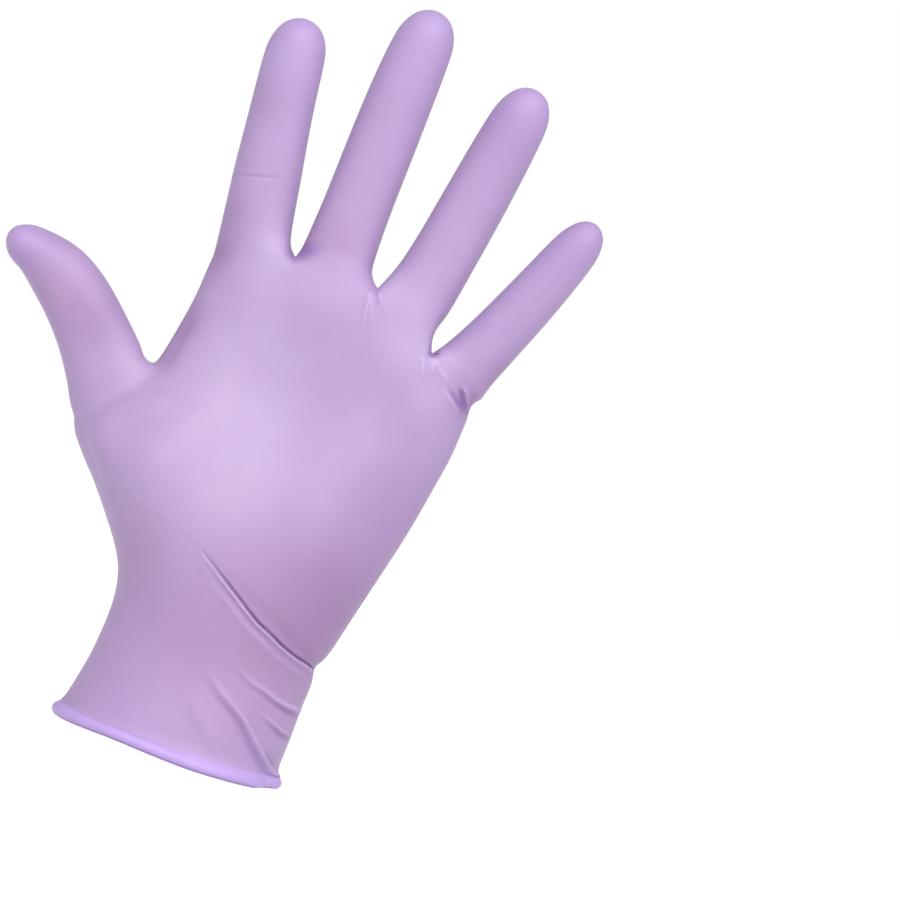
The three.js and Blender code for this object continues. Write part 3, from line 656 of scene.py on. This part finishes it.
def bead_rings(edge, normals, inset, diameter):
    """A round profile carried along the film's edge. Its centre stands one radius less the inset outside the
    edge, and it runs from where it meets the outer skin, over the outside and the bottom, to the inside. In
    millimetres, it lies closer to the film at both ends, and hangs lower at the thumb side's end and past the
    middle."""
    radius = diameter / 2
    outwards = unit(normals * (1, 1, 0))
    meeting = np.arccos(-(radius - inset) / radius)
    share = (np.arange(1, BEAD_STEPS + 1) / BEAD_STEPS)[:, None]
    angle = mix(meeting, -np.pi, share)[..., None]
    side = np.clip(edge[:, 0] / np.abs(edge[:, 0]).max(), -1, 1)
    thumb_end, little_end = np.clip(-side, 0, 1) ** 4, np.clip(side, 0, 1) ** 4
    flush = 0.3 * thumb_end + 0.9 * little_end
    lift = 0.3 * np.exp(-((side + 0.45) / 0.25) ** 2)
    sag = 0.5 * thumb_end - lift + 0.8 * (ease(side, -0.3, 0.4) - ease(side, 0.8, 1))
    rings = edge[None] + outwards[None] * (radius - inset + radius * np.cos(angle) - flush[:, None] * MM)
    rings[..., 2] += radius * (np.sin(angle[..., 0]) - np.sin(meeting)) - sag * MM * ease(share, 0, 0.15)
    return rings


def bells(points, table):
    """A sum of round bells in the picture's plane: x, z, spread in millimetres, weight."""
    x, z = points[:, 0, None] / MM, points[:, 2, None] / MM
    table = np.array(table, float)
    away = ((x - table[:, 0]) ** 2 + (z - table[:, 1]) ** 2) / table[:, 2] ** 2
    return (table[:, 3] * np.exp(-away)).sum(1)


def film_mesh(size):
    """The whole film: outer skin, bead and inner skin, which lies one wall inside the outer skin. Its
    attributes say how the film looks at each point: paler where drawn thin, with painted light; pinker; darker
    where slack, with painted shade; rolled; a fingertip's; with a painted highlight on a fold's crest; or with
    painted shade in a fold's groove, a web's corner or under the bead."""
    cage, cage_faces, edge = film_cage(size)
    skin, faces = subdivided(cage, cage_faces, 2)
    normals = face_normals_at_points(skin, faces)
    relief, narrow = fold_relief(skin, normals, size.fold_height)
    flare = size.bead_flare * np.exp(-(skin[:, 2] / size.bead_diameter * 1.5) ** 2)
    skin = skin + normals * (relief + flare)[:, None]
    normals = face_normals_at_points(skin, faces)

    # The fine edge is every point of the skin's open border, in order round the cuff.
    side = np.sort(np.stack([faces, np.roll(faces, -1, 1)], -1).reshape(-1, 2), 1)
    key, seen = np.unique(side[:, 0] * len(skin) + side[:, 1], return_counts=True)
    alone = key[seen == 1]
    border = np.unique(np.r_[alone // len(skin), alone % len(skin)])
    border = border[np.argsort(np.arctan2(skin[border, 1], skin[border, 0]))]
    coarse = edge[np.argsort(np.arctan2(skin[edge, 1], skin[edge, 0]))]
    border = np.roll(border, -int(np.flatnonzero(border == coarse[0])[0]))
    if not np.array_equal(border[::4], coarse):
        raise RuntimeError("the cuff's edge is out of order")

    wall = size.film_wall
    bead = bead_rings(skin[border], normals[border], wall + size.bead_flare, size.bead_diameter)
    lining = skin[:len(cage)] - normals[:len(cage)] * wall
    points = np.concatenate([skin, bead.reshape(-1, 3), lining])
    ring = len(skin) + np.arange(bead.shape[0] * len(border)).reshape(bead.shape[0], -1)
    loops = np.vstack([border, ring])
    after = np.roll(loops, -1, 1)
    bead_faces = np.stack([loops[:-1], after[:-1], after[1:], loops[1:]], -1).reshape(-1, 4)
    first = len(skin) + bead.shape[0] * len(border)
    lining_faces = cage_faces[:, ::-1] + first

    # Four fine edges of the bead's last ring meet each coarse edge of the lining.
    fine = np.concatenate([ring[-1], ring[-1][:1]])
    a, b = first + coarse, first + np.roll(coarse, -1)
    f = [fine[k:k + 4 * len(coarse):4] for k in range(5)]
    fans = ((a, f[0], f[1]), (a, f[1], f[2]), (a, f[2], b), (b, f[2], f[3]), (b, f[3], f[4]))
    seam = np.concatenate([np.stack(fan, 1) for fan in fans])

    # The bead's first faces turn outwards with the skin, and the seam's face the inside of the cuff.
    here, after, beside = points[loops[0, 0]], points[loops[0, 1]], bead[0, 0]
    if np.cross(after - here, beside - here) @ normals[border[0]] < 0:
        bead_faces = bead_faces[:, ::-1]
    here, after, beside = points[seam[0]]
    if np.cross(after - here, beside - here) @ (here * (1, 1, 0)) > 0:
        seam = seam[:, ::-1]

    mesh = bpy.data.meshes.new("glove_film")
    quads = np.concatenate([faces, bead_faces, lining_faces])
    mesh.from_pydata(points, [], [*quads.tolist(), *seam.tolist()])
    mesh.update()
    mesh.shade_smooth()

    # The bead is rolled, and the film just above it shows half as much of its colour.
    rolled = np.zeros(len(points))
    rolled[len(skin):first] = 1
    rolled[:len(skin)] = 0.5 * (1 - ease(skin[:, 2], 0, 2.4 * MM))

    # A fingertip is the last part of a digit's length, within 18 mm of the digit's mean line.
    fingertip = np.zeros(len(points))
    for digit in DIGITS.values():
        length = digit["size"][0] * MM
        lean = np.radians(np.mean(digit["lean"]))
        start = np.array(digit["start"]) * (size.palm_width, size.body_length)
        along = (points[:, 0] - start[0]) * np.sin(lean) + (points[:, 2] - start[1]) * np.cos(lean)
        across = (points[:, 0] - start[0]) * np.cos(lean) - (points[:, 2] - start[1]) * np.sin(lean)
        own = ease(-np.abs(across), -18 * MM, -13 * MM) * ease(along, 0.6 * length, 0.9 * length)
        fingertip = np.maximum(fingertip, own)
    # Positive relief of the narrow folds paints a highlight along their crests, where the film is also drawn
    # thin; negative relief paints shade in their grooves.
    crest = np.zeros(len(points))
    crest[:len(skin)] = narrow / MM
    # The bead's underside, from that point on, gets painted shade.
    crest[len(skin):first].reshape(bead.shape[:2])[BEAD_UNDERSIDE:] = -0.8
    # Painted shade in the web corners and the little finger's pinch, on the palm side alone.
    corner_shade = bells(points, PAINTED_CORNER_SHADE) * (1 - ease(points[:, 1], 0, 4 * MM))
    fields = {
        "crest": np.clip(crest, 0, 1),
        "crease_shade": np.clip(-1.1 * crest + corner_shade, 0, 1),
        "taut_and_lit": np.clip(bells(points, TAUT_AND_LIT), 0, 1),
        "pinker": np.clip(bells(points, PINKER), 0, 1),
        "deeper_and_shaded": np.clip(bells(points, DEEPER_AND_SHADED), 0, 1),
        "rolled": rolled,
        "fingertip": fingertip,
    }
    for name, field in fields.items():
        mesh.attributes.new(name, "FLOAT", "POINT").data.foreach_set("value", field.astype(np.float32))
    return mesh


# Materials

def add_node(tree, kind, settings=(), **inputs):
    """One node with its settings, and its inputs set or linked. An input is named, or numbered as in_0."""
    made = tree.nodes.new(kind)
    for name, value in dict(settings).items():
        setattr(made, name, value)
    for name, value in inputs.items():
        socket = made.inputs[int(name[3:]) if name.startswith("in_") else name.replace("_", " ")]
        if isinstance(value, bpy.types.NodeSocket):
            tree.links.new(value, socket)
        else:
            socket.default_value = value
    return made


def blank_material(name):
    """A material with an empty node tree and its output."""
    material = bpy.data.materials.new(name)
    material.use_nodes = True
    material.node_tree.nodes.clear()
    return material, material.node_tree, material.node_tree.nodes.new("ShaderNodeOutputMaterial")


def dipped_nitrile(colours):
    """Nitrile film made by dipping a former: dense pigment, so no light to speak of comes through, and a satin
    skin that gives broad soft highlights. Where it is drawn thin it goes paler, and it carries painted light
    where it faces the light; where it lies warm and close it goes a little pink; where it is slack, rolled or
    thick it goes to a darker violet, and it carries painted shade on sides turned from the light. Fold crests
    carry a painted highlight, and grooves, web corners and the bead's underside carry painted shade."""
    material, tree, output = blank_material("dipped_nitrile")
    field = lambda name: add_node(tree, "ShaderNodeAttribute", {"attribute_name": name}).outputs["Fac"]
    place = add_node(tree, "ShaderNodeTexCoord").outputs["Object"]

    # Clouds about 14 mm across, as the dip runs off unevenly, and specks of 1.2 mm.
    clouds = add_node(tree, "ShaderNodeTexNoise", Vector=place, Scale=70.0, Detail=2.0).outputs["Fac"]
    specks = add_node(tree, "ShaderNodeTexNoise", Vector=place, Scale=800.0, Detail=2.0).outputs["Fac"]

    def blend(a, b, share):
        node = add_node(tree, "ShaderNodeMix", {"data_type": "RGBA"}, in_0=share, in_6=a, in_7=b)
        return node.outputs[2]

    def scaled(value, low, high):
        return add_node(tree, "ShaderNodeMapRange", Value=value, in_3=low, in_4=high).outputs["Result"]

    # Paler where the film is drawn thin, with painted light where it faces the light.
    colour = blend(tuple(colours.film), tuple(colours.taut_and_lit), field("taut_and_lit"))
    colour = blend(colour, tuple(colours.pink), field("pinker"))
    # Darker where the film is slack or gathered, with painted shade on sides and corners turned from the
    # light.
    colour = blend(colour, tuple(colours.deep_and_shade), field("deeper_and_shaded"))
    colour = blend(colour, tuple(colours.bead), scaled(field("fingertip"), 0.0, 0.25))
    colour = blend(colour, tuple(colours.bead), field("rolled"))
    # Painted highlight along the crests of the narrow folds.
    colour = blend(colour, tuple(colours.crest), scaled(field("crest"), 0.0, 0.5))
    # Painted shade in the folds' grooves, in the web corners and on the bead's underside.
    colour = blend(colour, tuple(colours.crease_shade), scaled(field("crease_shade"), 0.0, 0.7))
    run = add_node(tree, "ShaderNodeMapRange", Value=clouds, in_1=0.35, in_2=0.65, in_3=0.0, in_4=0.10)
    colour = blend(colour, tuple(colours.deep_and_shade), run.outputs["Result"])

    # Matt grain of about 0.35 mm over the skin, and the coarser texture of 0.9 mm that grips at the
    # fingertips.
    grain = add_node(tree, "ShaderNodeTexNoise", Vector=place, Scale=2800.0, Detail=2.0).outputs["Fac"]
    cells = add_node(tree, "ShaderNodeTexVoronoi", Vector=place, Scale=1100.0).outputs["Distance"]
    share = scaled(field("fingertip"), 0.0, 0.3)
    grip = add_node(tree, "ShaderNodeMath", {"operation": "MULTIPLY"}, in_0=cells, in_1=share).outputs[0]
    height = add_node(tree, "ShaderNodeMath", {"operation": "ADD"}, in_0=grain, in_1=grip).outputs[0]
    bump = add_node(tree, "ShaderNodeBump", Height=height, Strength=0.06, Distance=0.0004).outputs["Normal"]
    rough = scaled(specks, 0.44, 0.54)
    shader = add_node(
        tree, "ShaderNodeBsdfPrincipled", Base_Color=colour, Roughness=rough, Normal=bump, IOR=1.5,
        Sheen_Weight=0.1, Sheen_Roughness=0.4,
        Subsurface_Weight=0.12, Subsurface_Radius=(0.9, 0.5, 1.0), Subsurface_Scale=0.0015,
    )
    tree.links.new(shader.outputs[0], output.inputs["Surface"])
    return material


def pale_floor(colours):
    """Matt white studio board."""
    material, tree, output = blank_material("studio_board")
    board = add_node(tree, "ShaderNodeBsdfDiffuse", Color=tuple(colours.floor), Roughness=0.5)
    tree.links.new(board.outputs[0], output.inputs["Surface"])
    return material


# The add-on

def length(name, description, value):
    """A length in metres."""
    return FloatProperty(
        name=name, description=description, default=value, min=0.0, precision=4, unit="LENGTH")


def colour(name, description, code):
    """A colour, from its sRGB hex value."""
    return FloatVectorProperty(
        name=name, description=description, default=hex_colour(code), size=4, subtype="COLOR",
        min=0.0, max=1.0)


class GloveSizes(PropertyGroup):
    """Sizes of the glove as it is worn."""

    film_wall: length("Film wall", "Thickness of the film, as thick as a handled solid needs", 0.001)
    bead_diameter: length("Bead diameter", "Diameter of the rolled edge of the cuff", 0.0038)
    bead_flare: length("Bead flare", "How far the film flares out where it runs into the bead", 0.0008)
    body_length: length("Body length", "From the bead to the roots of the fingers", 0.143)
    cuff_width: length("Cuff width", "Width of the cuff at its bead", 0.0673)
    cuff_depth: length("Cuff depth", "Depth of the cuff at its bead", 0.05)
    wrist_width: length("Wrist width", "Width of the wrist", 0.0656)
    wrist_depth: length("Wrist depth", "Depth of the wrist", 0.043)
    wrist_height: length("Wrist height", "Height of the wrist over the bead", 0.032)
    palm_width: length("Palm width", "Width of the palm at the knuckles", 0.092)
    palm_depth: length("Palm depth", "Depth of the palm at the knuckles", 0.028)
    palm_height: length("Palm height", "Height of the knuckles over the bead", 0.112)
    web_drop_front: length("Web drop, palm side", "How far a web hangs on the palm side", 0.0035)
    web_drop_back: length("Web drop, back", "How far a web hangs on the back", 0.007)
    thumb_web_drop: length("Thumb web drop", "How far the thumb's web hangs on both sides", 0.0055)
    fold_height: FloatProperty(
        name="Fold height", description="Height of all the folds against that of the worn glove",
        default=1.0, min=0.0, max=2.0, subtype="FACTOR")


class GloveColours(PropertyGroup):
    """Colours of the film and of the studio."""

    film: colour("Film", "The film at rest", "AC92BF")
    # Paler film where it is drawn thin, and painted light over the lit palm, pads and fingertips.
    taut_and_lit: colour("Taut film", "The film where it is drawn thin", "B79FC6")
    pink: colour("Pink film", "Thin film over the warmest parts", "AB88B1")
    # Darker slack or gathered film, painted shade on sides turned from the light, and the random clouds of the
    # dip.
    deep_and_shade: colour("Deep film", "Slack or gathered film", "9371A0")
    bead: colour("Bead", "The rolled edge, several layers thick", "B79CD8")
    # Painted highlight along the crests of the narrow folds, where the film is also drawn thin.
    crest: colour("Crests", "Film drawn over the crest of a fold", "D3BBE6")
    # Painted shade in the folds' grooves, the web corners and under the bead, partly gathered film.
    crease_shade: colour("Creases", "Film in a crease and in the corner of a web", "8064A6")
    floor: colour("Floor", "The studio board", "FBFAFB")


def add_piece(mesh, material, *replaced):
    """Links a finished mesh as a piece that rides on the root body and stands for the named nodes."""
    piece = bpy.data.objects.new(mesh.name, mesh)
    bpy.context.scene.collection.objects.link(piece)
    mesh.materials.append(material)
    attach(piece, "root")
    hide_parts(*replaced)


class GLOVE_OT_film(Operator):
    """Make the glove's film with its folds and its beaded edge"""

    bl_idname = "glove.film"
    bl_label = "Glove Film"
    bl_options = {"REGISTER", "UNDO"}

    def execute(self, context):
        scene = context.scene
        add_piece(film_mesh(scene.glove_sizes), dipped_nitrile(scene.glove_colours), "glove")
        return {"FINISHED"}


class GLOVE_OT_stage(Operator):
    """Make the camera, the studio light and the pale floor below the held-up glove"""

    bl_idname = "glove.stage"
    bl_label = "Glove Stage"
    bl_options = {"REGISTER", "UNDO"}

    def execute(self, context):
        scene = context.scene
        lens = bpy.data.cameras.new("camera")
        lens.sensor_width, lens.lens = SENSOR, LENS
        lens.clip_start, lens.clip_end = 0.01, 100
        camera = bpy.data.objects.new("camera", lens)
        scene.collection.objects.link(camera)
        c, s = np.cos(CAMERA_ROLL), np.sin(CAMERA_ROLL)
        x, y, z = CAMERA_PLACE
        camera.matrix_world = Matrix(((c, -s, 0, x), (0, 0, -1, y), (s, c, 0, z), (0, 0, 0, 1)))
        scene.camera = camera

        mesh = bpy.data.meshes.new("floor")
        signs = ((-1, -1), (1, -1), (1, 1), (-1, 1))
        corners = [(x * FLOOR_REACH, y * FLOOR_REACH, FLOOR_HEIGHT) for x, y in signs]
        mesh.from_pydata(corners, [], [(0, 1, 2, 3)])
        mesh.materials.append(pale_floor(scene.glove_colours))
        floor = bpy.data.objects.new("floor", mesh)
        scene.collection.objects.link(floor)

        for name, energy, angle, towards in LIGHTS:
            light = bpy.data.lights.new(name, "SUN")
            light.energy, light.angle = energy, np.radians(angle)
            lamp = bpy.data.objects.new(name, light)
            scene.collection.objects.link(lamp)
            lamp.matrix_world = Vector(towards).to_track_quat("Z", "Y").to_matrix().to_4x4()

        world = bpy.data.worlds.new("studio")
        world.use_nodes = True
        tree = world.node_tree
        tree.nodes.clear()
        fill = add_node(tree, "ShaderNodeBackground", Color=(0.97, 0.97, 1.0, 1), Strength=FILL)
        seen = add_node(tree, "ShaderNodeBackground", Color=(1, 1, 1, 1), Strength=1.0)
        ray = add_node(tree, "ShaderNodeLightPath")
        both = add_node(
            tree, "ShaderNodeMixShader",
            in_0=ray.outputs["Is Camera Ray"], in_1=fill.outputs[0], in_2=seen.outputs[0],
        )
        output = add_node(tree, "ShaderNodeOutputWorld")
        tree.links.new(both.outputs[0], output.inputs["Surface"])
        scene.world = world
        scene.view_settings.view_transform = "Standard"
        return {"FINISHED"}


class GLOVE_PT_panel(Panel):
    """Sizes, colours and pieces of the glove"""

    bl_idname = "GLOVE_PT_panel"
    bl_label = "Nitrile Examination Glove"
    bl_space_type = "VIEW_3D"
    bl_region_type = "UI"
    bl_category = "Glove"

    def draw(self, context):
        for group in (context.scene.glove_sizes, context.scene.glove_colours):
            box = self.layout.box()
            for name in group.bl_rna.properties.keys():
                if name not in ("rna_type", "name"):
                    box.prop(group, name)
        self.layout.operator(GLOVE_OT_stage.bl_idname)
        self.layout.operator(GLOVE_OT_film.bl_idname)


CLASSES = (GloveSizes, GloveColours, GLOVE_OT_film, GLOVE_OT_stage, GLOVE_PT_panel)


def register():
    for cls in CLASSES:
        bpy.utils.register_class(cls)
    bpy.types.Scene.glove_sizes = PointerProperty(type=GloveSizes)
    bpy.types.Scene.glove_colours = PointerProperty(type=GloveColours)


def unregister():
    del bpy.types.Scene.glove_colours
    del bpy.types.Scene.glove_sizes
    for cls in reversed(CLASSES):
        bpy.utils.unregister_class(cls)


def main():
    register()
    bpy.ops.glove.stage()
    bpy.ops.glove.film()


if __name__ == "__main__":
    main()
